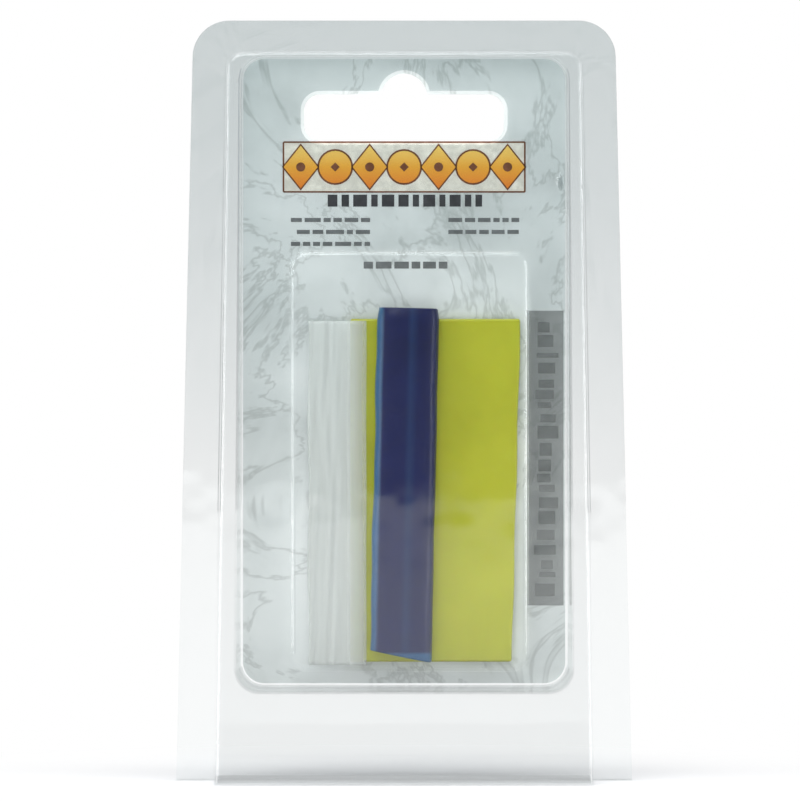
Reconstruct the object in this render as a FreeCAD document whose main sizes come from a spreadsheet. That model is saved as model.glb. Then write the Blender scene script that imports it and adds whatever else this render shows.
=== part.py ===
import FreeCAD, Part
import os

import Sketcher
from FreeCAD import Placement, Rotation, Vector

# Stand-up clamshell pack for two-part modelling putty.
# Millimetres. +Z is up, +X is to the right of somebody who faces the front, and the front looks along -Y.
# The origin is the middle of the pack's footprint. The front and back shells meet at the parting plane.

doc = FreeCAD.newDocument("putty_pack")

# ---------------------------------------------------------------------------------------------------
# Driving dimensions
# ---------------------------------------------------------------------------------------------------
DIMENSIONS = (
    ("pack_height", 165.0, "standing height of the pack"),
    ("flange_top_width", 91.5, "flange width at the top"),
    ("flange_foot_width", 99.0, "flange width at the foot"),
    ("flange_radius", 8.0, "radius of the flange's two top corners"),
    ("flange_top_margin", 6.5, "flange left above the raised form"),
    ("flange_side_margin", 6.95, "flange left beside the raised form at its top"),
    ("flange_foot_margin", 7.9, "flange left beside the raised form at the foot"),
    ("wall", 0.45, "thickness of the formed sheet"),
    ("draft", 3.0, "draft of the formed walls, degrees"),
    ("form_radius", 4.0, "raised form, radius of the top corners"),
    ("form_edge_radius", 1.3, "raised form, radius round its front face"),
    ("form_top_depth", 3.2, "front form, depth at its top"),
    ("form_foot_depth", 18.0, "front form, depth at the foot"),
    ("rear_foot_depth", 10.0, "rear foot, depth at the bottom"),
    ("rear_foot_height", 46.0, "rear foot, height at which it runs out"),
    ("rear_top_depth", 0.9, "rear foot, depth of its top step"),
    ("ridge_width", 3.5, "ridge between the raised form's side and the window at its top"),
    ("ridge_top", 1.5, "ridge above the window"),
    ("window_base", 20.8, "recessed window, height of its lower edge"),
    ("window_radius", 5.0, "recessed window, corner radius"),
    ("bubble_left_margin", 10.0, "window floor left of the bubble"),
    ("bubble_right_margin", 7.8, "window floor right of the bubble"),
    ("bubble_rise", 2.8, "window floor below the bubble"),
    ("print_band", 23.4, "window floor between the bubble and the hang slot"),
    ("bubble_depth", 10.5, "putty bubble, depth in front of the window floor"),
    ("bubble_radius", 3.8, "putty bubble, corner radius"),
    ("bubble_rim_radius", 1.4, "putty bubble, radius round its front face"),
    ("card_thickness", 0.35, "printed card"),
    ("card_margin", 0.3, "gap between the card's edge and the window's edge"),
    ("running_gap", 0.3, "clearance between pieces that move apart"),
    ("slot_width", 43.5, "hang slot, width"),
    ("slot_height", 10.2, "hang slot, height of the straight part"),
    ("slot_drop", 26.2, "hang slot, from the pack's top to the slot's lower edge"),
    ("slot_radius", 3.5, "hang slot, corner radius"),
    ("peg_radius", 5.0, "hang slot, radius of the peg notch"),
    ("peg_drop", 0.5, "hang slot, how far the peg notch's centre lies below the slot's upper edge"),
    ("slot_relief", 0.7, "how much wider the front shell's slot is all round"),
    ("dimple_width", 2.2, "card dimple, width"),
    ("dimple_height", 4.4, "card dimple, height"),
    ("dimple_depth", 0.8, "card dimple, depth"),
    ("dimple_inset", 1.4, "card dimple, from its middle to the window's right edge"),
    ("dimple_drop", 9.0, "card dimple, from the hang slot's lower edge to its middle"),
    ("web_thickness", 0.25, "living hinge, thickness"),
    ("web_width", 0.75, "living hinge, width"),
    ("film", 0.15, "film wrap, thickness"),
    ("film_rest_gap", 1.1, "film wrap, clearance over the bubble's lower wall, draft included"),
    ("film_right_gap", 1.4, "film wrap, clearance to the bubble's right wall, draft included"),
    ("film_left_gap", 4.05, "film wrap, room left of its tail in the bubble"),
    ("film_tail", 9.1, "film wrap, flat tail left of the slab"),
    ("film_slack", 1.2, "film wrap, room left beside the bar"),
    ("headroom", 13.0, "free height above the putty in the bubble"),
    ("slab_rise", 0.7, "resin slab, how far it stays inside the film's lower end"),
    ("slab_stop", 2.2, "resin slab, how far its upper edge lies below the bar's"),
    ("slab_taper", 1.9, "resin slab, how far the right edge comes in at the bottom"),
    ("slab_thickness", 1.7, "resin slab, thickness"),
    ("film_stop", 0.4, "film wrap, how far its upper end lies below the slab's"),
    ("bar_offset", 10.9, "hardener bar, from the slab's left edge to the middle of the bar's lower end"),
    ("bar_width", 13.6, "hardener bar, width"),
    ("bar_thickness", 4.5, "hardener bar, thickness"),
    ("bar_crown_width", 7.6, "hardener bar, width of its crown"),
    ("bar_shoulder", 3.2, "hardener bar, height of its shoulders"),
    ("bar_side_slope", 0.3, "hardener bar, how far each side leans in up to the shoulder"),
    ("bar_edge_radius", 1.0, "hardener bar, radius along its shoulders and crown"),
    ("bar_lean", 1.3, "hardener bar, lean to the right, degrees"),
    ("bar_end_slope", 10.0, "hardener bar, slope of its lower end, degrees"),
    ("bar_end_rise", 1.3, "hardener bar, how far its lower end's middle lies above the slab's lower edge"),
)

sizes = doc.addObject("Spreadsheet::Sheet", "Sizes")
for row, (alias, number, meaning) in enumerate(DIMENSIONS, start=1):
    sizes.set(f"A{row}", meaning)
    sizes.set(f"B{row}", str(number))
    sizes.setAlias(f"B{row}", alias)
doc.recompute()

FRONT_VIEW = Rotation(Vector(1, 0, 0), 90)
SIDE_VIEW = Rotation(Vector(1, 1, 1), 120)
TOP_VIEW = Rotation()
WIDE = "400"
TRIM = "5"


def value(formula):
    """The number that a formula over the sheet's cells comes to."""
    result = sizes.evalExpression(formula)
    return float(getattr(result, "Value", result))


def polygon(label, view, corners, level="0"):
    """A closed sketch. Each corner is a pair of formulas, and level moves its plane along the view's normal."""
    sketch = doc.addObject("Sketcher::SketchObject", label)
    points = [Vector(value(across), value(up), 0) for across, up in corners]
    count = len(points)
    for index in range(count):
        sketch.addGeometry(Part.LineSegment(points[index], points[(index + 1) % count]), False)
    for index in range(count):
        sketch.addConstraint(Sketcher.Constraint("Coincident", index, 2, (index + 1) % count, 1))
    for index, (across, up) in enumerate(corners):
        point = points[index]
        number = sketch.addConstraint(Sketcher.Constraint("DistanceX", -1, 1, index, 1, point.x))
        sketch.setExpression(f"Constraints[{number}]", across)
        number = sketch.addConstraint(Sketcher.Constraint("DistanceY", -1, 1, index, 1, point.y))
        sketch.setExpression(f"Constraints[{number}]", up)
    normal = view.multVec(Vector(0, 0, 1))
    sketch.Placement = Placement(normal * value(level), view)
    for axis in "xyz":
        component = getattr(normal, axis)
        if abs(component) > 0.5:
            sketch.setExpression(f"Placement.Base.{axis}", f"{round(component)} * ({level})")
    return sketch


def extruded(label, sketch, forward, back="0", taper="0"):
    """A solid from a sketch, along its normal and against it. A negative taper narrows it on the way."""
    solid = doc.addObject("Part::Extrusion", label)
    solid.Base = sketch
    solid.DirMode = "Normal"
    solid.Solid = True
    solid.setExpression("LengthFwd", forward)
    solid.setExpression("LengthRev", back)
    solid.setExpression("TaperAngle", taper)
    solid.setExpression("TaperAngleRev", taper)
    return solid


def rounded(label, base, choose, radius):
    """A copy of base with a fillet on each edge that choose picks."""
    doc.recompute()
    fillet = doc.addObject("Part::Fillet", label)
    fillet.Base = base
    size = value(radius)
    numbered = enumerate(base.Shape.Edges, start=1)
    fillet.Edges = [(number, size, size) for number, edge in numbered if choose(edge)]
    return fillet


def cut(label, base, tool):
    result = doc.addObject("Part::Cut", label)
    result.Base = base
    result.Tool = tool
    return result


def fused(label, *parts):
    result = doc.addObject("Part::MultiFuse", label)
    result.Shapes = list(parts)
    return result


def common(label, *parts):
    result = doc.addObject("Part::MultiCommon", label)
    result.Shapes = list(parts)
    return result


def runs_along(axis, only=lambda edge: True):
    """Picks the edges that run nearly along an axis."""
    def choose(edge):
        start = edge.valueAt(edge.FirstParameter)
        end = edge.valueAt(edge.LastParameter)
        run = end - start
        return run.Length > 0 and abs(getattr(run, axis)) > 0.9 * run.Length and only(edge)
    return choose


def lies_at(level):
    """Picks the edges that lie in the plane y = level."""
    def choose(edge):
        box = edge.BoundBox
        return abs(box.YMin - level) < 1e-3 and abs(box.YMax - level) < 1e-3
    return choose


# ---------------------------------------------------------------------------------------------------
# Forms shared by the two shells
# ---------------------------------------------------------------------------------------------------
PARTING = "((Sizes.form_foot_depth - Sizes.rear_foot_depth) / 2)"
FORM_TOP = "(Sizes.pack_height - Sizes.flange_top_margin)"
FORM_TOP_WIDTH = "(Sizes.flange_top_width - 2 * Sizes.flange_side_margin)"
FORM_FOOT_WIDTH = "(Sizes.flange_foot_width - 2 * Sizes.flange_foot_margin)"
CARD_GAP = "(Sizes.card_thickness + Sizes.running_gap)"
WINDOW_FLOOR = f"({CARD_GAP} + Sizes.wall)"
WINDOW_WIDTH = f"({FORM_TOP_WIDTH} - 2 * Sizes.ridge_width)"
WINDOW_TOP = f"({FORM_TOP} - Sizes.ridge_top)"
SLOT_BASE = "(Sizes.pack_height - Sizes.slot_drop)"
SLOT_TOP = f"({SLOT_BASE} + Sizes.slot_height)"
BUBBLE_LEFT = f"(Sizes.bubble_left_margin - {WINDOW_WIDTH} / 2)"
BUBBLE_RIGHT = f"({WINDOW_WIDTH} / 2 - Sizes.bubble_right_margin)"
BUBBLE_WIDTH = f"({BUBBLE_RIGHT} - {BUBBLE_LEFT})"
BUBBLE_MIDDLE = f"(({BUBBLE_RIGHT} + {BUBBLE_LEFT}) / 2)"
BUBBLE_BASE = "(Sizes.window_base + Sizes.bubble_rise)"
BUBBLE_TOP = f"({SLOT_BASE} - Sizes.print_band)"


def trapezium(low_width, high_width, low, high, middle="0"):
    return (
        (f"{middle} - {low_width} / 2", low),
        (f"{middle} + {low_width} / 2", low),
        (f"{middle} + {high_width} / 2", high),
        (f"{middle} - {high_width} / 2", high),
    )


def flange_plate(label, level):
    """The flat flange of one shell, one sheet thick, forward of the given level."""
    outline = polygon(
        f"{label}_outline", FRONT_VIEW,
        trapezium("Sizes.flange_foot_width", "Sizes.flange_top_width", "0", "Sizes.pack_height"), level,
    )
    plate = extruded(f"{label}_plate", outline, "Sizes.wall")
    top_corner = runs_along("y", lambda edge: edge.BoundBox.ZMin > value("Sizes.pack_height / 2"))
    return rounded(label, plate, top_corner, "Sizes.flange_radius")


def hang_slot(label, relief):
    """The wide slot with a round peg notch above its middle, cut through everything."""
    slot = polygon(
        f"{label}_outline", FRONT_VIEW,
        trapezium(
            f"(Sizes.slot_width + 2 * {relief})", f"(Sizes.slot_width + 2 * {relief})",
            f"{SLOT_BASE} - {relief}", f"{SLOT_TOP} + {relief}",
        ), "-5",
    )
    bar = rounded(f"{label}_bar", extruded(f"{label}_block", slot, "15"), runs_along("y"),
                  f"Sizes.slot_radius + {relief}")
    peg = doc.addObject("Part::Cylinder", f"{label}_peg")
    peg.setExpression("Radius", f"Sizes.peg_radius + {relief}")
    peg.Height = 15
    peg.Placement = Placement(Vector(0, 5, 0), FRONT_VIEW)
    peg.setExpression("Placement.Base.z", f"{SLOT_TOP} - Sizes.peg_drop")
    return fused(label, bar, peg)


def form_width(level):
    """Width of both raised forms at a height. They narrow evenly from the foot to the top."""
    return f"({FORM_FOOT_WIDTH} + ({FORM_TOP_WIDTH} - {FORM_FOOT_WIDTH}) * ({level}) / {FORM_TOP})"


def form_outline(label, inset, top, level):
    """The forms' outline in the front view. It runs on below the foot, where the slope's profile ends it."""
    low = f"(-{TRIM})"
    return polygon(
        label, FRONT_VIEW,
        trapezium(
            f"({form_width(low)} - 2 * {inset})", f"({form_width(top)} - 2 * {inset})", low, f"{top} - {inset}",
        ), level,
    )


# ---------------------------------------------------------------------------------------------------
# Front shell: wedge form with a recessed window, and the putty bubble that stands out of the window
# ---------------------------------------------------------------------------------------------------
def front_form(label, inset, behind):
    """The wedge. inset takes it in by one sheet for its inner face, and behind runs it backwards."""
    outline = form_outline(f"{label}_outline", inset, FORM_TOP, f"-{behind}")
    block = extruded(f"{label}_block", outline, f"Sizes.form_foot_depth + 2 + {behind}", taper="-Sizes.draft")
    top_corner = runs_along("y", lambda edge: edge.CenterOfMass.z > value("Sizes.pack_height / 2"))
    drafted = rounded(f"{label}_drafted", block, top_corner, f"Sizes.form_radius - {inset}")
    front_low = (f"{inset} - Sizes.form_foot_depth", inset)
    front_high = (f"{inset} - Sizes.form_top_depth", FORM_TOP)
    profile = polygon(
        f"{label}_profile", SIDE_VIEW,
        ((f"{behind} + 1", inset), front_low, front_high, (f"{behind} + 1", FORM_TOP)),
    )
    slab = extruded(f"{label}_slope", profile, f"{WIDE} / 2", back=f"{WIDE} / 2")
    wedge = common(f"{label}_wedge", drafted, slab)
    low = Vector(0, value(front_low[0]), value(front_low[1]))
    slope = (Vector(0, value(front_high[0]), value(front_high[1])) - low).normalize()

    def on_slope(edge):
        ends = (edge.valueAt(edge.FirstParameter), edge.valueAt(edge.LastParameter))
        offsets = [(end - Vector(end.x, 0, 0) - low).cross(slope).Length for end in ends]
        return max(offsets) < 1e-3

    return rounded(label, wedge, on_slope, f"Sizes.form_edge_radius - {inset}")


def window_pocket(label, outset):
    """The window's recess. outset makes the larger pocket that the inner face needs."""
    outline = polygon(
        f"{label}_outline", FRONT_VIEW,
        trapezium(
            f"({WINDOW_WIDTH} + 2 * {outset})", f"({WINDOW_WIDTH} + 2 * {outset})",
            f"Sizes.window_base - {outset}", f"{WINDOW_TOP} + {outset}",
        ), f"{WINDOW_FLOOR} - {outset}",
    )
    block = extruded(f"{label}_block", outline, "Sizes.form_foot_depth + 2", taper="Sizes.draft")
    return rounded(label, block, runs_along("y"), f"Sizes.window_radius + {outset}")


def putty_bubble(label, inset, behind):
    """The bubble, from behind the parting plane or the window floor to its front face."""
    outline = polygon(
        f"{label}_outline", FRONT_VIEW,
        trapezium(
            f"({BUBBLE_WIDTH} - 2 * {inset})", f"({BUBBLE_WIDTH} - 2 * {inset})",
            f"{BUBBLE_BASE} + {inset}", f"{BUBBLE_TOP} - {inset}", BUBBLE_MIDDLE,
        ), f"-{behind}",
    )
    length = f"({behind} + {WINDOW_FLOOR} + Sizes.bubble_depth - {inset})"
    block = extruded(f"{label}_block", outline, length, taper="-Sizes.draft")
    sides = rounded(f"{label}_sides", block, runs_along("y"), f"Sizes.bubble_radius - {inset}")
    front_face = -value(f"{length} - {behind}")
    return rounded(label, sides, lies_at(front_face), f"Sizes.bubble_rim_radius - {inset}")


def card_dimple(label, inset):
    """The oval dimple beside the window's right edge that steadies the card."""
    ball = doc.addObject("Part::Ellipsoid", label)
    ball.setExpression("Radius1", f"Sizes.dimple_depth - {inset}")
    ball.setExpression("Radius2", f"Sizes.dimple_width / 2 - {inset}")
    ball.setExpression("Radius3", f"Sizes.dimple_height / 2 - {inset}")
    ball.Placement = Placement(Vector(), FRONT_VIEW)
    ball.setExpression("Placement.Base.x", f"{WINDOW_WIDTH} / 2 - Sizes.dimple_inset")
    ball.setExpression("Placement.Base.y", f"-{WINDOW_FLOOR}")
    ball.setExpression("Placement.Base.z", f"{SLOT_BASE} - Sizes.dimple_drop")
    return ball


NONE = "0"
SHEET = "Sizes.wall"
BEHIND = "1"

front_outside = fused(
    "front_outside",
    flange_plate("front_flange", NONE),
    cut("front_raised", front_form("front_form_outside", NONE, NONE), window_pocket("window_outside", NONE)),
    putty_bubble("bubble_outside", NONE, NONE),
    card_dimple("dimple_outside", NONE),
)
front_inside = fused(
    "front_inside",
    cut("front_hollow", front_form("front_form_inside", SHEET, BEHIND), window_pocket("window_inside", SHEET)),
    putty_bubble("bubble_inside", SHEET, BEHIND),
    card_dimple("dimple_inside", SHEET),
)
front_formed = cut("front_formed", front_outside, front_inside)
front_slotted = cut("front_slotted", front_formed, hang_slot("front_slot", "Sizes.slot_relief"))

hinge_notch = doc.addObject("Part::Box", "hinge_notch")
hinge_notch.setExpression("Length", "2 * Sizes.flange_foot_width")
hinge_notch.setExpression("Width", "Sizes.web_width + 1")
hinge_notch.setExpression("Height", "Sizes.web_thickness + 1")
hinge_notch.setExpression("Placement.Base.x", "-Sizes.flange_foot_width")
hinge_notch.setExpression("Placement.Base.y", "-Sizes.web_width")
hinge_notch.setExpression("Placement.Base.z", "-1")
front_shell = cut("front_shell", front_slotted, hinge_notch)

# ---------------------------------------------------------------------------------------------------
# Back shell: a flat panel, and a shallow foot that stands behind it
# ---------------------------------------------------------------------------------------------------
def rear_form(label, inset, ahead):
    """The rear foot. inset takes it in by the sheet's thickness, and ahead runs it forwards."""
    outline = form_outline(f"{label}_outline", inset, "Sizes.rear_foot_height", ahead)
    block = extruded(f"{label}_block", outline, "0", f"Sizes.rear_foot_depth + 2 + {ahead}", "-Sizes.draft")
    profile = polygon(
        f"{label}_profile", SIDE_VIEW,
        (
            (f"-{ahead} - 1", inset),
            (f"Sizes.rear_foot_depth - {inset}", inset),
            (f"Sizes.rear_top_depth - {inset}", "Sizes.rear_foot_height"),
            (f"-{ahead} - 1", "Sizes.rear_foot_height"),
        ),
    )
    slab = extruded(f"{label}_slope", profile, f"{WIDE} / 2", back=f"{WIDE} / 2")
    return common(label, block, slab)


back_panel = flange_plate("back_panel", f"-{SHEET}")
back_outside = fused("back_outside", back_panel, rear_form("rear_outside", NONE, NONE))
back_formed = cut("back_formed", back_outside, rear_form("rear_inside", SHEET, BEHIND))
back_shell = cut("back_shell", back_formed, hang_slot("back_slot", NONE))

# ---------------------------------------------------------------------------------------------------
# Living hinge: the thin web along the bottom of the parting plane
# ---------------------------------------------------------------------------------------------------
living_hinge = doc.addObject("Part::Box", "living_hinge")
living_hinge.setExpression("Length", "Sizes.flange_foot_width")
living_hinge.setExpression("Width", "Sizes.web_width")
living_hinge.setExpression("Height", "Sizes.web_thickness")
living_hinge.setExpression("Placement.Base.x", "-Sizes.flange_foot_width / 2")
living_hinge.setExpression("Placement.Base.y", f"{PARTING} - Sizes.web_width")

# ---------------------------------------------------------------------------------------------------
# Printed card: lies on the back panel, behind the window
# ---------------------------------------------------------------------------------------------------
card_outline = polygon(
    "card_outline", FRONT_VIEW,
    trapezium(
        f"({WINDOW_WIDTH} - 2 * Sizes.card_margin)", f"({WINDOW_WIDTH} - 2 * Sizes.card_margin)",
        "Sizes.window_base + Sizes.card_margin", f"{WINDOW_TOP} - Sizes.card_margin",
    ),
)
card_blank = extruded("card_blank", card_outline, "Sizes.card_thickness")
card_sheet = rounded("card_sheet", card_blank, runs_along("y"), "Sizes.window_radius - Sizes.card_margin")
card_insert = cut("card_insert", card_sheet, hang_slot("card_slot", NONE))

# ---------------------------------------------------------------------------------------------------
# Putty: the slab lies against the card inside its film, and the bar lies on the slab
# ---------------------------------------------------------------------------------------------------
SLAB_BACK = f"({CARD_GAP} + Sizes.film)"
SLAB_FRONT = f"({SLAB_BACK} + Sizes.slab_thickness)"
BAR_FRONT = f"({SLAB_FRONT} + Sizes.bar_thickness)"
FILM_LEFT = f"({BUBBLE_LEFT} + Sizes.wall + Sizes.film_left_gap)"
FILM_RIGHT = f"({BUBBLE_RIGHT} - Sizes.wall - Sizes.film_right_gap)"
FILM_BASE = f"({BUBBLE_BASE} + Sizes.wall + Sizes.film_rest_gap)"
SLAB_LEFT = f"({FILM_LEFT} + Sizes.film_tail)"
SLAB_RIGHT = f"({FILM_RIGHT} - 2 * Sizes.film)"
SLAB_BASE = f"({FILM_BASE} + Sizes.slab_rise)"
BAR_TOP = f"({BUBBLE_TOP} - Sizes.headroom)"
SLAB_TOP = f"({BAR_TOP} - Sizes.slab_stop)"
FILM_TOP = f"({SLAB_TOP} - Sizes.film_stop)"
BAR_BASE = f"({SLAB_BASE} + Sizes.bar_end_rise)"
BAR_LENGTH = f"({BAR_TOP} - {BAR_BASE})"
BAR_CENTRE = f"({SLAB_LEFT} + Sizes.bar_offset)"

slab_outline = polygon(
    "slab_outline", FRONT_VIEW,
    (
        (SLAB_LEFT, SLAB_BASE),
        (f"{SLAB_RIGHT} - Sizes.slab_taper", SLAB_BASE),
        (SLAB_RIGHT, SLAB_TOP),
        (SLAB_LEFT, SLAB_TOP),
    ), SLAB_BACK,
)
resin_slab = extruded("resin_slab", slab_outline, "Sizes.slab_thickness")

bar_section = polygon(
    "bar_section", TOP_VIEW,
    (
        ("-Sizes.bar_width / 2", "0"),
        ("-Sizes.bar_width / 2 + Sizes.bar_side_slope", "-Sizes.bar_shoulder"),
        ("-Sizes.bar_crown_width / 2", "-Sizes.bar_thickness"),
        ("Sizes.bar_crown_width / 2", "-Sizes.bar_thickness"),
        ("Sizes.bar_width / 2 - Sizes.bar_side_slope", "-Sizes.bar_shoulder"),
        ("Sizes.bar_width / 2", "0"),
    ),
)
bar_block = extruded("bar_block", bar_section, BAR_LENGTH, back="Sizes.bar_width / 2")
bar_edges = runs_along("z", lambda edge: edge.BoundBox.YMax < -1)
bar_straight = rounded("bar_straight", bar_block, bar_edges, "Sizes.bar_edge_radius")
bar_end = doc.addObject("Part::Box", "bar_end")
bar_end.Length = 60
bar_end.Width = 20
bar_end.Height = 20
bar_end_tilt = Placement(Vector(), Rotation(Vector(0, 1, 0), value("Sizes.bar_end_slope")))
bar_end.Placement = bar_end_tilt * Placement(Vector(-30, -15, -20), Rotation())
hardener_bar = cut("hardener_bar", bar_straight, bar_end)
hardener_bar.Placement = Placement(Vector(), Rotation(Vector(0, 1, 0), value("Sizes.bar_lean")))
hardener_bar.setExpression("Placement.Base.x", BAR_CENTRE)
hardener_bar.setExpression("Placement.Base.y", f"{PARTING} - {SLAB_FRONT}")
hardener_bar.setExpression("Placement.Base.z", BAR_BASE)

# ---------------------------------------------------------------------------------------------------
# Film wrap: a thin sleeve round slab and bar, open at both ends, with a flat tail on the left
# ---------------------------------------------------------------------------------------------------
def film_section(label, inset):
    """The sleeve's section: back against the card, a hump over the bar, and the tail pressed flat."""
    back = f"-({CARD_GAP} + {inset})"
    front = f"-({SLAB_FRONT} + Sizes.film - {inset})"
    crown = f"-({BAR_FRONT} + 2 * Sizes.film - {inset})"
    tail_end = f"{FILM_LEFT} + {inset}"
    bar_left = f"{BAR_CENTRE} - Sizes.bar_width / 2 - Sizes.film_slack"
    bar_right = f"{BAR_CENTRE} + Sizes.bar_width / 2 + Sizes.film_slack + {BAR_LENGTH} * tan(Sizes.bar_lean)"
    return polygon(
        label, TOP_VIEW,
        (
            (tail_end, back),
            (f"{FILM_RIGHT} - {inset}", back),
            (f"{FILM_RIGHT} - {inset}", front),
            (f"{bar_right} - {inset}", front),
            (f"{bar_right} - Sizes.film_slack / 2 - {inset}", crown),
            (f"{bar_left} + Sizes.film_slack / 2 + {inset}", crown),
            (f"{bar_left} + {inset}", front),
            (f"{SLAB_LEFT} - 2 * Sizes.film + {inset}", front),
            (tail_end, f"-({CARD_GAP} + 4 * Sizes.film - {inset})"),
        ), FILM_BASE,
    )


film_height = f"{FILM_TOP} - {FILM_BASE}"
film_outside = extruded("film_outside", film_section("film_outer_section", NONE), film_height)
film_inside = extruded("film_inside", film_section("film_inner_section", "Sizes.film"), film_height)
film_wrap = cut("film_wrap", film_outside, film_inside)

# ---------------------------------------------------------------------------------------------------
# Seat the pieces on the parting plane, check the document, and write each piece
# ---------------------------------------------------------------------------------------------------
for piece in (front_shell, back_shell, card_insert, resin_slab, film_wrap):
    piece.setExpression("Placement.Base.y", PARTING)
doc.recompute()

for part in doc.Objects:
    if "Invalid" in part.State or "Error" in part.State:
        raise RuntimeError(f"{part.Label} did not recompute: {part.State}")

PIECES = (front_shell, back_shell, living_hinge, card_insert, resin_slab, hardener_bar, film_wrap)
for piece in PIECES:
    if piece.Shape.isNull() or not piece.Shape.isValid() or len(piece.Shape.Solids) != 1:
        raise RuntimeError(f"{piece.Label} is not one valid solid")

os.makedirs("parts", exist_ok=True)
for piece in PIECES:
    piece.Shape.exportStep(f"parts/{piece.Label}.step")
    print(f"{piece.Label}: {piece.Shape.Volume:.1f} mm3")
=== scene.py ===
import math
import random

import bmesh
import bpy
from mathutils import Matrix, Vector


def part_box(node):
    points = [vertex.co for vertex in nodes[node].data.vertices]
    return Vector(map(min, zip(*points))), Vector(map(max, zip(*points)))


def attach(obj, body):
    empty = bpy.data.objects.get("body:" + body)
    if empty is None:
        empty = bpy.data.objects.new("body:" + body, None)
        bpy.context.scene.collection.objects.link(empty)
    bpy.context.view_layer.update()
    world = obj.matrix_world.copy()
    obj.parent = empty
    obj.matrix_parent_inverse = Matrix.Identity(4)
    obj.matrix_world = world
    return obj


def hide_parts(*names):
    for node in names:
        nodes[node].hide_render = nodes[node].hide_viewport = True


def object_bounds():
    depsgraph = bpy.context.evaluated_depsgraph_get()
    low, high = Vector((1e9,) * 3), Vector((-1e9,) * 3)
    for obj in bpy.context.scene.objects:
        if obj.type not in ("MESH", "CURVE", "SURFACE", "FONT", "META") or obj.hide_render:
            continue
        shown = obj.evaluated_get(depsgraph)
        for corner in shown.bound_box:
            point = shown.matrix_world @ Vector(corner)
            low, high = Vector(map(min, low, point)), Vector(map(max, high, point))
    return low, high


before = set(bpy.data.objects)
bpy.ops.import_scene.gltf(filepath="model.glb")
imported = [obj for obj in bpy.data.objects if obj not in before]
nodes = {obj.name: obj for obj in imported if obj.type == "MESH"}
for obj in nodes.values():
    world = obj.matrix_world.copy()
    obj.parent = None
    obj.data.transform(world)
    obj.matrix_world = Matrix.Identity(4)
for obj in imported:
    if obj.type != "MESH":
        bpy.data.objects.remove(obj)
cad_box = [list(corner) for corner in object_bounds()]
scene = bpy.context.scene
random.seed(7)

# Studio: pale floor and white surroundings, with a broad lamp above the front, one overhead and a long
# strip lamp at each side, whose reflections draw bright lines along the formed walls of the clear shells.
# The room is dim in front.
scene.view_settings.view_transform = "Standard"
world = bpy.data.worlds.new("studio_world")
scene.world = world
world.use_nodes = True
world_tree = world.node_tree
world_tree.nodes.clear()
world_out = world_tree.nodes.new("ShaderNodeOutputWorld")
room = world_tree.nodes.new("ShaderNodeBackground")
room.inputs["Color"].default_value = (0.97, 0.985, 1.0, 1)
backdrop = world_tree.nodes.new("ShaderNodeBackground")
backdrop.inputs["Color"].default_value = (1, 1, 1, 1)
backdrop.inputs["Strength"].default_value = 1.0
seen = world_tree.nodes.new("ShaderNodeLightPath")
either = world_tree.nodes.new("ShaderNodeMath")
either.operation = "MAXIMUM"
choose_room = world_tree.nodes.new("ShaderNodeMixShader")
world_tree.links.new(seen.outputs["Is Camera Ray"], either.inputs[0])
world_tree.links.new(seen.outputs["Is Transmission Ray"], either.inputs[1])
world_tree.links.new(either.outputs[0], choose_room.inputs[0])
world_tree.links.new(room.outputs[0], choose_room.inputs[1])
world_tree.links.new(backdrop.outputs[0], choose_room.inputs[2])
world_tree.links.new(choose_room.outputs[0], world_out.inputs["Surface"])
room_place = world_tree.nodes.new("ShaderNodeTexCoord")
room_split = world_tree.nodes.new("ShaderNodeSeparateXYZ")
room_level = world_tree.nodes.new("ShaderNodeMapRange")
for socket, setting in (("From Min", -1.0), ("From Max", -0.72), ("To Min", 0.12), ("To Max", 0.56)):
    room_level.inputs[socket].default_value = setting
world_tree.links.new(room_place.outputs["Generated"], room_split.inputs[0])
world_tree.links.new(room_split.outputs["Y"], room_level.inputs["Value"])
world_tree.links.new(room_level.outputs[0], room.inputs["Strength"])


def add_lamp(name, place, target, width, height, power):
    """A soft rectangular lamp at a place, turned towards a target, with sizes in metres."""
    data = bpy.data.lights.new(name, "AREA")
    data.shape = "RECTANGLE"
    data.size = width
    data.size_y = height
    data.energy = power
    lamp = bpy.data.objects.new(name, data)
    scene.collection.objects.link(lamp)
    aim = (Vector(target) - Vector(place)).to_track_quat("-Z", "Y")
    lamp.matrix_world = Matrix.Translation(place) @ aim.to_matrix().to_4x4()


pack_low, pack_high = (Vector(corner) for corner in cad_box)
middle = (pack_low + pack_high) / 2
add_lamp("key_lamp", (-0.25, -0.75, 0.75), middle, width=0.5, height=0.4, power=2.6)
for strip, side in (("left_strip", -1), ("right_strip", 1)):
    add_lamp(strip, (side * 0.60, -0.25, 0.15), middle, width=0.20, height=0.60, power=2.6)
add_lamp("top_strip", (0.0, -0.20, 0.65), middle, width=0.6, height=0.20, power=1.8)

camera_data = bpy.data.cameras.new("front_camera")
camera_data.sensor_width = 36.0
camera_distance = 1.2
camera_shift = -0.0009
camera_height = 0.0825
view_margin = 1.051
seen_height = (pack_high.z - pack_low.z) * view_margin
camera_data.lens = camera_data.sensor_width * (camera_distance + middle.y) / seen_height
camera_data.clip_start = 0.05
camera = bpy.data.objects.new("front_camera", camera_data)
scene.collection.objects.link(camera)
camera_place = Matrix.Translation((camera_shift, -camera_distance, camera_height))
camera.matrix_world = camera_place @ Matrix.Rotation(math.pi / 2, 4, "X")
scene.camera = camera

floor_mesh = bpy.data.meshes.new("studio_floor")
floor_form = bmesh.new()
bmesh.ops.create_grid(floor_form, x_segments=1, y_segments=1, size=3.0)
floor_form.to_mesh(floor_mesh)
floor_form.free()
floor = bpy.data.objects.new("studio_floor", floor_mesh)
scene.collection.objects.link(floor)


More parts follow.
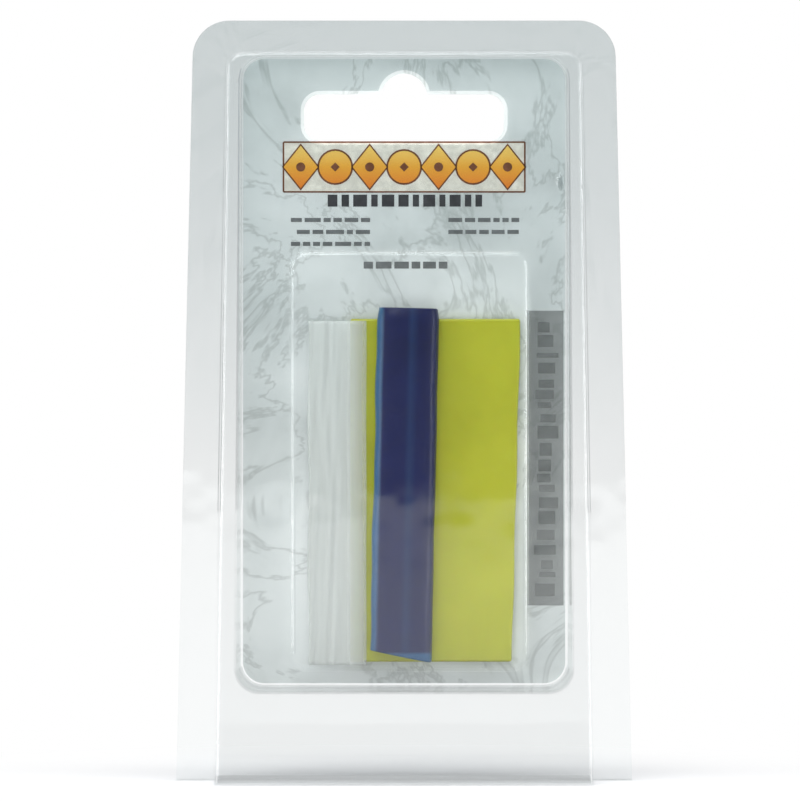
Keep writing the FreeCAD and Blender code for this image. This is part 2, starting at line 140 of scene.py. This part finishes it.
def new_material(name, **values):
    """A material with a Principled surface. values are written to its sockets, with _ for each space."""
    material = bpy.data.materials.new(name)
    material.use_nodes = True
    surface = material.node_tree.nodes["Principled BSDF"]
    for socket, setting in values.items():
        surface.inputs[socket.replace("_", " ")].default_value = setting
    return material


def add_node(material, kind, **values):
    """A shader node. values are its own settings or its sockets' values."""
    node = material.node_tree.nodes.new(kind)
    for name, setting in values.items():
        if hasattr(node, name):
            setattr(node, name, setting)
        else:
            node.inputs[name.replace("_", " ")].default_value = setting
    return node


def join(material, source, target):
    """A link from one shader socket to another."""
    material.node_tree.links.new(source, target)


def ramp(material, factor, *stops):
    """A colour ramp over factor. Each stop is a place and a colour."""
    node = material.node_tree.nodes.new("ShaderNodeValToRGB")
    elements = node.color_ramp.elements
    while len(elements) < len(stops):
        elements.new(0.5)
    for element, (place, colour) in zip(elements, stops):
        element.position = place
        element.color = (*colour, 1)
    join(material, factor, node.inputs["Fac"])
    return node.outputs["Color"]


def paint_node(name, material):
    """Gives a CAD node's mesh one material all over."""
    mesh = nodes[name].data
    mesh.materials.clear()
    mesh.materials.append(material)


# The floor is matt and pale round the pack, where it takes the shadow, and runs out into the white
# surroundings.
floor_paint = new_material("studio_floor", Base_Color=(0.90, 0.90, 0.91, 1), Roughness=0.9)
floor_mesh.materials.append(floor_paint)
floor_surface = floor_paint.node_tree.nodes["Principled BSDF"]
floor_place = add_node(floor_paint, "ShaderNodeTexCoord")
floor_reach = add_node(floor_paint, "ShaderNodeVectorMath", operation="LENGTH")
join(floor_paint, floor_place.outputs["Object"], floor_reach.inputs[0])
floor_fade = add_node(floor_paint, "ShaderNodeMapRange", interpolation_type="SMOOTHSTEP")
floor_fade.inputs["From Min"].default_value = 0.03
floor_fade.inputs["From Max"].default_value = 0.13
join(floor_paint, floor_reach.outputs["Value"], floor_fade.inputs["Value"])
floor_rays = add_node(floor_paint, "ShaderNodeLightPath")
floor_seen = add_node(floor_paint, "ShaderNodeMath", operation="MAXIMUM")
join(floor_paint, floor_rays.outputs["Is Camera Ray"], floor_seen.inputs[0])
join(floor_paint, floor_rays.outputs["Is Glossy Ray"], floor_seen.inputs[1])
floor_share = add_node(floor_paint, "ShaderNodeMath", operation="MULTIPLY")
join(floor_paint, floor_fade.outputs[0], floor_share.inputs[0])
join(floor_paint, floor_seen.outputs[0], floor_share.inputs[1])
floor_white = add_node(floor_paint, "ShaderNodeEmission")
floor_mix = add_node(floor_paint, "ShaderNodeMixShader")
join(floor_paint, floor_share.outputs[0], floor_mix.inputs[0])
join(floor_paint, floor_surface.outputs[0], floor_mix.inputs[1])
join(floor_paint, floor_white.outputs[0], floor_mix.inputs[2])
join(floor_paint, floor_mix.outputs[0], floor_paint.node_tree.nodes["Material Output"].inputs["Surface"])

# Clear shells: two halves of one thermoformed sheet of clear plastic, 0.45 mm thick, folded at the living
# hinge and closed round the card. Its see-through colour is painted shade, a faint grey near the top that
# goes clearer towards the deep foot. Forming leaves it slightly wavy.
clear_sheet = bpy.data.materials.new("clear_sheet")
clear_sheet.use_nodes = True
clear_sheet.node_tree.nodes.clear()
sheet_place = add_node(clear_sheet, "ShaderNodeTexCoord")
sheet_height = add_node(clear_sheet, "ShaderNodeSeparateXYZ")
join(clear_sheet, sheet_place.outputs["Object"], sheet_height.inputs[0])
sheet_shade_height = add_node(clear_sheet, "ShaderNodeMapRange")
sheet_shade_height.inputs["From Max"].default_value = pack_high.z
join(clear_sheet, sheet_height.outputs["Z"], sheet_shade_height.inputs["Value"])
# Painted shade: the sheet's see-through colour greys towards the top of the pack.
sheet_painted_shade = ramp(
    clear_sheet, sheet_shade_height.outputs[0],
    (0.0, (0.985, 0.99, 0.99)), (0.42, (0.975, 0.98, 0.98)),
    (0.75, (0.915, 0.93, 0.932)), (1.0, (0.89, 0.91, 0.912)),
)
sheet_pass = add_node(clear_sheet, "ShaderNodeBsdfTransparent")
join(clear_sheet, sheet_painted_shade, sheet_pass.inputs["Color"])
sheet_gloss = add_node(clear_sheet, "ShaderNodeBsdfGlossy", Roughness=0.05)
sheet_gloss.inputs["Color"].default_value = (1, 1, 1, 1)
sheet_waves = add_node(clear_sheet, "ShaderNodeTexNoise", Scale=55.0, Detail=2.0)
join(clear_sheet, sheet_place.outputs["Object"], sheet_waves.inputs["Vector"])
sheet_bump = add_node(clear_sheet, "ShaderNodeBump", Strength=0.25, Distance=0.0005)
join(clear_sheet, sheet_waves.outputs["Fac"], sheet_bump.inputs["Height"])
join(clear_sheet, sheet_bump.outputs["Normal"], sheet_gloss.inputs["Normal"])
sheet_facing = add_node(clear_sheet, "ShaderNodeLayerWeight", Blend=0.5)
sheet_edge = add_node(clear_sheet, "ShaderNodeMath", operation="POWER")
sheet_edge.inputs[1].default_value = 4.0
join(clear_sheet, sheet_facing.outputs["Facing"], sheet_edge.inputs[0])
sheet_shine = add_node(clear_sheet, "ShaderNodeMapRange")
sheet_shine.inputs["To Min"].default_value = 0.040
sheet_shine.inputs["To Max"].default_value = 0.85
join(clear_sheet, sheet_edge.outputs[0], sheet_shine.inputs["Value"])
sheet_mix = add_node(clear_sheet, "ShaderNodeMixShader")
join(clear_sheet, sheet_shine.outputs[0], sheet_mix.inputs[0])
join(clear_sheet, sheet_pass.outputs[0], sheet_mix.inputs[1])
join(clear_sheet, sheet_gloss.outputs[0], sheet_mix.inputs[2])
sheet_out = add_node(clear_sheet, "ShaderNodeOutputMaterial")
join(clear_sheet, sheet_mix.outputs[0], sheet_out.inputs["Surface"])
for shell in ("front_shell", "back_shell", "living_hinge"):
    paint_node(shell, clear_sheet)
for shell in ("front_shell", "back_shell"):
    nodes[shell].data.shade_smooth()
    edge_split = nodes[shell].modifiers.new("crisp_folds", "EDGE_SPLIT")
    edge_split.split_angle = math.radians(28)

# Printed card: coated board 0.35 mm thick, offset printed with a grey marble, cut with its own hang slot.
# It lies loose on the back shell and shows through the recessed window.
card_print = new_material("card_print", Roughness=0.42, Specular_IOR_Level=0.4)
card_place = add_node(card_print, "ShaderNodeTexCoord")
cloud = add_node(card_print, "ShaderNodeTexNoise", Scale=38.0, Detail=6.0, Roughness=0.6, Distortion=0.4)
join(card_print, card_place.outputs["Object"], cloud.inputs["Vector"])
marble = ramp(
    card_print, cloud.outputs["Fac"],
    (0.30, (0.62, 0.66, 0.65)), (0.50, (0.74, 0.78, 0.77)), (0.72, (0.84, 0.87, 0.86)),
)
vein_warp = add_node(card_print, "ShaderNodeTexNoise", Scale=26.0, Detail=5.0, Roughness=0.65, Distortion=1.6)
join(card_print, card_place.outputs["Object"], vein_warp.inputs["Vector"])
vein_line = add_node(card_print, "ShaderNodeMath", operation="SUBTRACT")
vein_line.inputs[1].default_value = 0.5
join(card_print, vein_warp.outputs["Fac"], vein_line.inputs[0])
vein_width = add_node(card_print, "ShaderNodeMath", operation="ABSOLUTE")
join(card_print, vein_line.outputs[0], vein_width.inputs[0])
vein = ramp(card_print, vein_width.outputs[0], (0.0, (0.38, 0.38, 0.38)), (0.022, (0.0, 0.0, 0.0)))
veined = add_node(card_print, "ShaderNodeMix", data_type="RGBA", blend_type="MIX")
join(card_print, vein, veined.inputs["Factor"])
join(card_print, marble, veined.inputs[6])
veined.inputs[7].default_value = (0.27, 0.30, 0.285, 1)
join(card_print, veined.outputs[2], card_print.node_tree.nodes["Principled BSDF"].inputs["Base Color"])
board_grain = add_node(card_print, "ShaderNodeTexNoise", Scale=900.0, Detail=2.0)
join(card_print, card_place.outputs["Object"], board_grain.inputs["Vector"])
board_bump = add_node(card_print, "ShaderNodeBump", Strength=0.1, Distance=0.00005)
join(card_print, board_grain.outputs["Fac"], board_bump.inputs["Height"])
join(card_print, board_bump.outputs["Normal"], card_print.node_tree.nodes["Principled BSDF"].inputs["Normal"])
paint_node("card_insert", card_print)

# Print on the card: a title strip of plain lozenges and discs in a thin frame, rows of plain bars where
# the small print would stand, and a darker column of painted shade at the right. All are ink pieces, a few
# hundredths of a millimetre thick, laid in layers whose places are given in ink thicknesses off the card.
card_low, card_high = (Vector(corner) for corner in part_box("card_insert"))
INK = 0.00003
FIRST_LAYER = 1.2
LAYER_STEP = 1.3
card_face = card_low.y


def ink_piece(name, form, material, body="back", layer=0):
    """Gives a flat bmesh, drawn in X and Z on the card's face, the ink's thickness and its body."""
    bmesh.ops.recalc_face_normals(form, faces=form.faces)
    lift = -INK * (FIRST_LAYER + LAYER_STEP * layer)
    for vertex in form.verts:
        vertex.co.y = card_face + lift
    wall = bmesh.ops.extrude_face_region(form, geom=list(form.faces))
    raised = [v for v in wall["geom"] if isinstance(v, bmesh.types.BMVert)]
    bmesh.ops.translate(form, verts=raised, vec=(0, INK, 0))
    bmesh.ops.recalc_face_normals(form, faces=form.faces)
    mesh = bpy.data.meshes.new(name)
    form.to_mesh(mesh)
    form.free()
    mesh.materials.append(material)
    piece = bpy.data.objects.new(name, mesh)
    scene.collection.objects.link(piece)
    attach(piece, body)


def add_rectangle(form, x, z, width, height):
    """A flat rectangle in the X-Z plane."""
    place = Matrix.Translation((x, 0, z)) @ Matrix.Rotation(math.pi / 2, 4, "X")
    place = place @ Matrix.Diagonal((width, height, 1, 1))
    bmesh.ops.create_grid(form, x_segments=1, y_segments=1, size=0.5, matrix=place)


def add_disc(form, x, z, radius, sides, stretch=1.0):
    """A flat disc, or with four sides a lozenge, in the X-Z plane."""
    place = Matrix.Translation((x, 0, z)) @ Matrix.Diagonal((1, 1, stretch, 1))
    place = place @ Matrix.Rotation(math.pi / 2, 4, "X")
    bmesh.ops.create_circle(form, cap_ends=True, radius=radius, segments=sides, matrix=place)


def ink(name, colour, soft=0.0):
    """Printing ink with a fine screen. soft thins its cover towards the board."""
    material = new_material(name, Roughness=0.38, Base_Color=(*colour, 1))
    place = add_node(material, "ShaderNodeTexCoord")
    screen = add_node(material, "ShaderNodeTexNoise", Scale=700.0, Detail=3.0)
    join(material, place.outputs["Object"], screen.inputs["Vector"])
    pale = tuple(min(1.0, c * 1.25 + 0.02) for c in colour)
    tone = ramp(material, screen.outputs["Fac"], (0.35, colour), (0.75, pale))
    surface = material.node_tree.nodes["Principled BSDF"]
    join(material, tone, surface.inputs["Base Color"])
    if soft:
        surface.inputs["Alpha"].default_value = 1.0 - soft
    return material


dark_ink = ink("dark_ink", (0.035, 0.035, 0.04))
grey_ink = ink("grey_ink", (0.14, 0.15, 0.15))
outline_ink = ink("outline_ink", (0.16, 0.05, 0.015))
# A soft grey-green ink that paints shade in a column at the card's right.
painted_shade_ink = ink("painted_shade_ink", (0.54, 0.57, 0.56), soft=0.74)

title_half = 0.0262
title_drop = 0.0181
title_base_drop = 0.0289
title_low = Vector((-title_half, 0, card_high.z - title_base_drop))
title_high = Vector((title_half, 0, card_high.z - title_drop))
title_middle = (title_low + title_high) / 2
title_width = title_high.x - title_low.x
title_height = title_high.z - title_low.z
frame_line = 0.00035

gold_ink = new_material("gold_ink", Roughness=0.35)
gold_place = add_node(gold_ink, "ShaderNodeTexCoord")
gold_split = add_node(gold_ink, "ShaderNodeSeparateXYZ")
join(gold_ink, gold_place.outputs["Object"], gold_split.inputs[0])
gold_level = add_node(gold_ink, "ShaderNodeMapRange")
gold_inset = 0.001
gold_level.inputs["From Min"].default_value = title_low.z + gold_inset
gold_level.inputs["From Max"].default_value = title_high.z - gold_inset
join(gold_ink, gold_split.outputs["Z"], gold_level.inputs["Value"])
gold_tone = ramp(
    gold_ink, gold_level.outputs[0],
    (0.0, (0.80, 0.22, 0.02)), (0.5, (0.86, 0.42, 0.04)), (1.0, (0.93, 0.66, 0.16)),
)
join(gold_ink, gold_tone, gold_ink.node_tree.nodes["Principled BSDF"].inputs["Base Color"])

field = bmesh.new()
add_rectangle(field, title_middle.x, title_middle.z, title_width, title_height)
ink_piece("title_field", field, ink("field_ink", (0.72, 0.70, 0.62)))
border = bmesh.new()
for side in (-1, 1):
    add_rectangle(border, title_middle.x, title_middle.z + side * title_height / 2, title_width, frame_line)
    add_rectangle(border, title_middle.x + side * title_width / 2, title_middle.z, frame_line, title_height)
ink_piece("title_frame", border, outline_ink, layer=1)

ornament_count = 7
ornament_step = title_width / ornament_count
disc_radius = 0.0035
lozenge_radius = 0.0037
outline_width = 0.0004
centre_radius = 0.0010
for edge, (label, material) in enumerate((("title_outline", outline_ink), ("title_ornament", gold_ink))):
    row = bmesh.new()
    grow = outline_width if edge == 0 else 0.0
    for index in range(ornament_count):
        x = title_low.x + (index + 0.5) * ornament_step
        if index % 2:
            add_disc(row, x, title_middle.z, disc_radius + grow, sides=28)
        else:
            add_disc(row, x, title_middle.z, lozenge_radius + grow, sides=4, stretch=1.25)
    ink_piece(label, row, material, layer=1 + edge)
centre_row = bmesh.new()
for index in range(ornament_count):
    x = title_low.x + (index + 0.5) * ornament_step
    add_disc(centre_row, x, title_middle.z, centre_radius, sides=4 if index % 2 else 20)
ink_piece("title_centres", centre_row, outline_ink, layer=3)


SHORTEST_BAR = 0.0012
LONGEST_BAR = 0.0040
LEAST_ROOM = 0.0008


def bar_row(form, left, right, z, height, gap=0.0006):
    """A row of bars of uneven length, as words would stand, between two X values."""
    x = left
    while x < right - LEAST_ROOM:
        length = min(random.uniform(SHORTEST_BAR, LONGEST_BAR), right - x)
        add_rectangle(form, x + length / 2, z, length, height)
        x += length + gap


headline = bmesh.new()
bar_row(headline, left=-0.0166, right=0.0173, z=card_high.z - 0.0308, height=0.0026, gap=0.0009)
ink_piece("headline_bars", headline, dark_ink)
small_print = bmesh.new()
first_line = card_high.z - 0.0350
line_step = 0.0026
line_height = 0.0009
line_indent = 0.0013
for line in range(3):
    line_left = -0.0246 + line_indent * (line % 2)
    bar_row(small_print, left=line_left, right=-0.0074, z=first_line - line_step * line, height=line_height)
for line in range(2):
    bar_row(small_print, left=0.0096, right=0.0250, z=first_line - line_step * line, height=line_height)
bar_row(small_print, left=-0.0088, right=0.0094, z=card_high.z - 0.0448, height=0.0015)
ink_piece("small_print_bars", small_print, grey_ink)

# A darker column of painted shade down the card's right, beside the bubble.
column = bmesh.new()
column_x = 0.0308
column_bars_low = 0.040
column_bars_high = 0.1000
add_rectangle(column, x=column_x, z=0.0700, width=0.0076, height=0.0640)
ink_piece("side_column", column, painted_shade_ink)
column_bars = bmesh.new()
level = column_bars_low
while level < column_bars_high:
    tall = random.uniform(0.0009, 0.0030)
    reach = random.uniform(0.0024, 0.0050)
    add_rectangle(column_bars, column_x + random.uniform(-0.0006, 0.0006), level + tall / 2, reach, tall)
    level += tall + random.uniform(0.0005, 0.0014)
ink_piece("side_column_bars", column_bars, ink("column_ink", (0.42, 0.45, 0.44), soft=0.66), layer=1)

# Resin slab: a soft yellow ribbon of uncured epoxy putty, 1.7 mm thick, rolled flat, so its face is
# slightly wavy, its edges are round and its right edge runs in towards the bottom.
slab_low, slab_high = (Vector(corner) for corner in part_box("resin_slab"))


def putty_material(name, colours, roughness, scale):
    """Waxy uncured putty: mottled colour, soft sheen, light passing a little way in, and roller marks."""
    material = new_material(
        name, Roughness=roughness, Subsurface_Weight=0.12, Subsurface_Scale=0.0008, Specular_IOR_Level=0.45,
    )
    surface = material.node_tree.nodes["Principled BSDF"]
    place = add_node(material, "ShaderNodeTexCoord")
    mottle = add_node(material, "ShaderNodeTexNoise", Scale=scale, Detail=5.0, Roughness=0.6)
    join(material, place.outputs["Object"], mottle.inputs["Vector"])
    tone = ramp(material, mottle.outputs["Fac"], (0.3, colours[0]), (0.7, colours[1]))
    join(material, tone, surface.inputs["Base Color"])
    stretch = add_node(material, "ShaderNodeMapping")
    stretch.inputs["Scale"].default_value = (1.0, 1.0, 0.12)
    join(material, place.outputs["Object"], stretch.inputs["Vector"])
    marks = add_node(material, "ShaderNodeTexNoise", Scale=420.0, Detail=4.0)
    join(material, stretch.outputs[0], marks.inputs["Vector"])
    bump = add_node(material, "ShaderNodeBump", Strength=0.35, Distance=0.00015)
    join(material, marks.outputs["Fac"], bump.inputs["Height"])
    join(material, bump.outputs["Normal"], surface.inputs["Normal"])
    return material


def finish_piece(name, form, material, body, replaced):
    """Turns a bmesh into a smooth piece that rides on a body in place of a CAD node."""
    bmesh.ops.remove_doubles(form, verts=form.verts, dist=1e-7)
    bmesh.ops.recalc_face_normals(form, faces=form.faces)
    mesh = bpy.data.meshes.new(name)
    form.to_mesh(mesh)
    form.free()
    mesh.materials.append(material)
    mesh.shade_smooth()
    piece = bpy.data.objects.new(name, mesh)
    scene.collection.objects.link(piece)
    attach(piece, body)
    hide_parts(replaced)
    return piece


slab_form = bmesh.new()
bmesh.ops.create_cube(slab_form, size=1.0)
slab_size = slab_high - slab_low
bmesh.ops.scale(slab_form, verts=slab_form.verts, vec=slab_size)
bmesh.ops.translate(slab_form, verts=slab_form.verts, vec=(slab_low + slab_high) / 2)
slab_taper = 0.0019
slab_edge = 0.00055
slab_face_wave = 0.00008
slab_edge_wave = 0.00010
slab_edge_band = 0.004
for vertex in slab_form.verts:
    if vertex.co.x > 0 and vertex.co.z < (slab_low.z + slab_high.z) / 2:
        vertex.co.x -= slab_taper
bmesh.ops.bevel(
    slab_form, geom=slab_form.edges[:], offset=slab_edge, segments=4,
    affect="EDGES", profile=0.5, material=-1,
)
for cuts, axis in ((28, "x"), (54, "z")):
    long_edges = [
        edge for edge in slab_form.edges
        if abs(getattr(edge.verts[0].co - edge.verts[1].co, axis)) > 0.6 * getattr(slab_size, axis)
    ]
    bmesh.ops.subdivide_edges(slab_form, edges=long_edges, cuts=cuts, use_grid_fill=True)
for vertex in slab_form.verts:
    x, y, z = vertex.co
    front = max(0.0, (slab_high.y - y) / slab_size.y)
    ripple = math.sin(x * 310 + 1.3 * math.sin(z * 90)) * math.sin(z * 140 + 0.7)
    vertex.co.y += front * slab_face_wave * (1 + ripple)
    if x > slab_high.x - slab_edge_band:
        vertex.co.x -= slab_edge_wave * (1 + math.sin(z * 260))
finish_piece(
    "resin_slab_putty", slab_form,
    putty_material("yellow_putty", ((0.41, 0.43, 0.016), (0.49, 0.51, 0.026)), 0.36, 60.0),
    "putty", "resin_slab",
)

# Hardener bar: a dark blue bar of putty, cut from a thicker ribbon, laid on the slab a little askew. Its
# crown is flattened. Painted highlights in a paler blue run down its left flank, faintly just right of its
# middle and across its cut lower end.
bar_low, bar_high = (Vector(corner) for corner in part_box("hardener_bar"))
bar_lean = math.radians(1.3)
bar_half = 0.0068
bar_tall = bar_high.y - bar_low.y
bar_rise = 0.0013
bar_root = Vector((bar_low.x + bar_half, bar_high.y, bar_low.z + bar_rise))
bar_length = (bar_high.z - bar_root.z) / math.cos(bar_lean)
BAR_SECTION = (
    (-1.0, 0.03), (-0.99, 0.30), (-0.955, 0.62), (-0.86, 0.78), (-0.70, 0.88),
    (-0.50, 0.955), (-0.25, 0.985), (0.0, 0.975), (0.30, 0.985), (0.55, 0.95),
    (0.76, 0.87), (0.90, 0.74), (0.965, 0.55), (0.99, 0.28), (1.0, 0.03),
)
bar_form = bmesh.new()
rib = [bar_form.verts.new((across * bar_half, -rise * bar_tall, 0)) for across, rise in BAR_SECTION]
last_face = bar_form.faces.new(rib)
bar_steps = 60
for step in range(bar_steps):
    grown = bmesh.ops.extrude_face_region(bar_form, geom=[last_face])
    moved = [v for v in grown["geom"] if isinstance(v, bmesh.types.BMVert)]
    bmesh.ops.translate(bar_form, verts=moved, vec=(0, 0, bar_length / bar_steps))
    new_faces = [f for f in grown["geom"] if isinstance(f, bmesh.types.BMFace)]
    if step:
        bar_form.faces.remove(last_face)
    last_face = new_faces[0]
end_slope = math.tan(math.radians(10))
soft_end = 0.97
for vertex in bar_form.verts:
    x, y, z = vertex.co
    share = z / bar_length
    vertex.co.z = z - x * end_slope * (1 - share) ** 3
    swell = 0.00012 * math.sin(z * 170 + 0.6) + 0.00008 * math.sin(z * 410)
    vertex.co.x = x + swell * (0.4 if x > 0 else 1.0)
    vertex.co.x *= 0.985
    vertex.co.y = y * (0.97 + 0.025 * math.sin(z * 120 + x * 300))
    if share > soft_end:
        ease = (share - soft_end) / (1 - soft_end)
        vertex.co.x *= 1 - 0.05 * ease
        vertex.co.y *= 1 - 0.12 * ease
end_edges = [
    e for e in bar_form.edges
    if len(e.link_faces) == 2 and e.calc_face_angle(0) > math.radians(60)
    and abs(e.verts[0].co.z - e.verts[1].co.z) < 0.0006 and abs(e.verts[0].co.y) > 0.0004
]
bar_end_edge = 0.00035
bmesh.ops.bevel(
    bar_form, geom=end_edges, offset=bar_end_edge, segments=3, affect="EDGES", profile=0.5, material=-1,
)
bmesh.ops.transform(
    bar_form, matrix=Matrix.Translation(bar_root) @ Matrix.Rotation(bar_lean, 4, "Y"), verts=bar_form.verts,
)
blue_putty = putty_material("blue_putty", ((0.005, 0.009, 0.062), (0.009, 0.015, 0.092)), 0.33, 70.0)
bar_surface = blue_putty.node_tree.nodes["Principled BSDF"]
bar_surface.inputs["Specular IOR Level"].default_value = 0.3
bar_deep = bar_surface.inputs["Base Color"].links[0].from_socket
bar_place = add_node(blue_putty, "ShaderNodeTexCoord")
bar_split = add_node(blue_putty, "ShaderNodeSeparateXYZ")
join(blue_putty, bar_place.outputs["Object"], bar_split.inputs[0])
bar_shift = add_node(blue_putty, "ShaderNodeMath", operation="MULTIPLY_ADD")
bar_shift.inputs[1].default_value = -math.tan(bar_lean)
join(blue_putty, bar_split.outputs["Z"], bar_shift.inputs[0])
join(blue_putty, bar_split.outputs["X"], bar_shift.inputs[2])
bar_across = add_node(blue_putty, "ShaderNodeMapRange")
bar_start = bar_root.x - bar_half - bar_root.z * math.tan(bar_lean)
bar_across.inputs["From Min"].default_value = bar_start
bar_across.inputs["From Max"].default_value = bar_start + 2 * bar_half
join(blue_putty, bar_shift.outputs[0], bar_across.inputs["Value"])
# Painted highlights: a pale stripe down the bar's left flank and a faint one just right of its middle.
bar_painted_highlights = ramp(
    blue_putty, bar_across.outputs[0],
    (0.0, (1.0, 1.0, 1.0)), (0.08, (0.75, 0.75, 0.75)), (0.13, (0.0, 0.0, 0.0)), (0.48, (0.0, 0.0, 0.0)),
    (0.56, (0.16, 0.16, 0.16)), (0.68, (0.0, 0.0, 0.0)), (1.0, (0.0, 0.0, 0.0)),
)
# Painted highlight across the bar's cut lower end.
bar_end_painted_highlight = add_node(blue_putty, "ShaderNodeMapRange", interpolation_type="SMOOTHSTEP")
for socket, setting in (("From Min", bar_low.z + 0.0016), ("From Max", bar_low.z + 0.0026),
                        ("To Min", 0.8), ("To Max", 0.0)):
    bar_end_painted_highlight.inputs[socket].default_value = setting
join(blue_putty, bar_split.outputs["Z"], bar_end_painted_highlight.inputs["Value"])
bar_highlight_share = add_node(blue_putty, "ShaderNodeMath", operation="MAXIMUM")
join(blue_putty, bar_painted_highlights, bar_highlight_share.inputs[0])
join(blue_putty, bar_end_painted_highlight.outputs[0], bar_highlight_share.inputs[1])
# The deep blue putty colour mixed with the paler blue of the painted highlights.
bar_tone_with_highlights = add_node(blue_putty, "ShaderNodeMix", data_type="RGBA")
join(blue_putty, bar_highlight_share.outputs[0], bar_tone_with_highlights.inputs["Factor"])
join(blue_putty, bar_deep, bar_tone_with_highlights.inputs[6])
bar_tone_with_highlights.inputs[7].default_value = (0.035, 0.13, 0.27, 1)
join(blue_putty, bar_tone_with_highlights.outputs[2], bar_surface.inputs["Base Color"])
finish_piece("hardener_bar_putty", bar_form, blue_putty, "putty", "hardener_bar")

# Film wrap: a milky polythene film folded round the putty. Its flat tail stands out left of the slab in
# fine upright wrinkles. Only the tail and the part that clings to the slab as far as the bar are made
# here.
film_low, film_high = (Vector(corner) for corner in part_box("film_wrap"))
film_milk = new_material(
    "milky_film", Roughness=0.30, IOR=1.3, Base_Color=(0.86, 0.90, 0.87, 1), Specular_IOR_Level=0.5,
)
film_surface = film_milk.node_tree.nodes["Principled BSDF"]
film_place = add_node(film_milk, "ShaderNodeTexCoord")
film_split = add_node(film_milk, "ShaderNodeSeparateXYZ")
join(film_milk, film_place.outputs["Object"], film_split.inputs[0])
film_cover = add_node(film_milk, "ShaderNodeMapRange", interpolation_type="SMOOTHSTEP")
film_cover.inputs["From Min"].default_value = slab_low.x - 0.001
film_cover.inputs["From Max"].default_value = slab_low.x + 0.0065
film_cover.inputs["To Min"].default_value = 0.50
film_cover.inputs["To Max"].default_value = 0.05
join(film_milk, film_split.outputs["X"], film_cover.inputs["Value"])
film_streaks = add_node(film_milk, "ShaderNodeMapping")
film_streaks.inputs["Scale"].default_value = (1.0, 1.0, 0.08)
join(film_milk, film_place.outputs["Object"], film_streaks.inputs["Vector"])
film_noise = add_node(film_milk, "ShaderNodeTexNoise", Scale=300.0, Detail=4.0)
join(film_milk, film_streaks.outputs[0], film_noise.inputs["Vector"])
film_vary = add_node(film_milk, "ShaderNodeMapRange")
film_vary.inputs["To Min"].default_value = 0.75
film_vary.inputs["To Max"].default_value = 1.25
join(film_milk, film_noise.outputs["Fac"], film_vary.inputs["Value"])
film_alpha = add_node(film_milk, "ShaderNodeMath", operation="MULTIPLY", use_clamp=True)
join(film_milk, film_cover.outputs[0], film_alpha.inputs[0])
join(film_milk, film_vary.outputs[0], film_alpha.inputs[1])
join(film_milk, film_alpha.outputs[0], film_surface.inputs["Alpha"])
film_bump = add_node(film_milk, "ShaderNodeBump", Strength=0.5, Distance=0.0002)
join(film_milk, film_noise.outputs["Fac"], film_bump.inputs["Height"])
join(film_milk, film_bump.outputs["Normal"], film_surface.inputs["Normal"])

slab_front = slab_low.y
FILM_PATH = (
    (film_low.x, slab_high.y + 0.0001), (slab_low.x - 0.0040, slab_high.y - 0.0004),
    (slab_low.x - 0.0006, slab_high.y - 0.0008), (slab_low.x - 0.0001, slab_front - 0.00008),
    (slab_low.x + 0.0020, slab_front - 0.00012), (bar_low.x - 0.0006, slab_front - 0.00015),
)
film_form = bmesh.new()
path_points = [Vector((x, y, film_low.z)) for x, y in FILM_PATH]
rows = 90
film_line = [film_form.verts.new(point) for point in path_points]
film_edges = [film_form.edges.new(pair) for pair in zip(film_line, film_line[1:])]
bmesh.ops.subdivide_edges(film_form, edges=film_edges, cuts=9)
grown_edges = film_form.edges[:]
for row in range(rows):
    grown = bmesh.ops.extrude_edge_only(film_form, edges=grown_edges)
    moved = [v for v in grown["geom"] if isinstance(v, bmesh.types.BMVert)]
    bmesh.ops.translate(film_form, verts=moved, vec=(0, 0, (film_high.z - film_low.z) / rows))
    grown_edges = [e for e in grown["geom"] if isinstance(e, bmesh.types.BMEdge)]
tail_start = 0.0005
tail_blend = 0.004
wrinkle_depth = 0.00022
edge_sway = 0.00018
for vertex in film_form.verts:
    x, y, z = vertex.co
    tail = max(0.0, min(1.0, (slab_low.x - tail_start - x) / tail_blend))
    wrinkle = math.sin(x * 2100 + 2.2 * math.sin(z * 85)) + 0.6 * math.sin(x * 3700 - z * 160)
    vertex.co.y = y - tail * wrinkle_depth * (1.6 + wrinkle)
    vertex.co.x = x + edge_sway * math.sin(z * 210 + 1.0) * (1 if tail > 0.9 else 0.2)
film = finish_piece("film_wrap_tail", film_form, film_milk, "putty", "film_wrap")
film_wall = film.modifiers.new("film_thickness", "SOLIDIFY")
film_wall.thickness = 0.00006
film_wall.offset = 0
